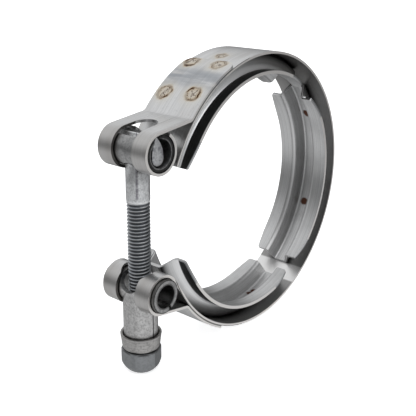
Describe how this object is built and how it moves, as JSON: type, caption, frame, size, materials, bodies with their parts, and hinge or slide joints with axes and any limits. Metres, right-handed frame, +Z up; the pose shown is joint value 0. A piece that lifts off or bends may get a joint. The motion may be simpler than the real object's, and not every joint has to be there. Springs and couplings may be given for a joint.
{
  "type": "v band clamp",
  "caption": "Ring clamp with V-section retainers inside a flat band, drawn shut by a T-bolt and nut between two rolled eyes.",
  "frame": {"origin": "centre of the ring, midway between its two faces", "axes": "+Y along the ring's axis, +Z up along the T-bolt towards its head, the bolt on the -X side"},
  "size_m": [0.1173, 0.0248, 0.1085],
  "materials": {
    "band_steel": "satin stainless strip, brushed along its length",
    "retainer_steel": "satin stainless sheet, pressed",
    "trunnion_steel": "tumbled stainless sheet",
    "bolt_steel": "grey plated steel, slightly grainy",
    "collar_steel": "turned steel",
    "nut_steel": "dull grey plated steel"
  },
  "bodies": {
    "band": {"outer_band": "band_steel", "eye_strap": "band_steel", "retainer_upper": "retainer_steel", "retainer_side": "retainer_steel", "retainer_lower": "retainer_steel"},
    "bolt": {"t_bolt": "bolt_steel", "trunnion_tube": "trunnion_steel"},
    "sleeve": {"trunnion_sleeve": "trunnion_steel"},
    "collar": {"collar_cup": "collar_steel"},
    "nut": {"lock_nut": "nut_steel"}
  },
  "joints": [
    {"name": "bolt_swing", "type": "hinge", "parent": "band", "child": "bolt", "pos_m": [-0.05635, 0, 0.0264], "axis": [0, 1, 0], "range_deg": [-0.4, 0.4]},
    {"name": "sleeve_turn", "type": "hinge", "parent": "band", "child": "sleeve", "pos_m": [-0.05635, 0, -0.0233], "axis": [0, 1, 0], "range_deg": [-0.4, 0.4]},
    {"name": "nut_travel", "type": "slide", "parent": "bolt", "child": "collar", "axis": [0, 0, -1], "range_m": [0, 0.0075]},
    {"name": "nut_spin", "type": "hinge", "parent": "collar", "child": "nut", "pos_m": [-0.05635, 0, -0.0515], "axis": [0, 0, -1], "range_deg": [0, 2160]}
  ],
  "couplings": [
    {"joint": "sleeve_turn", "follows": "bolt_swing", "ratio": 1},
    {"joint": "nut_travel", "follows": "nut_spin", "m_per_rad": 0.00019894}
  ]
}
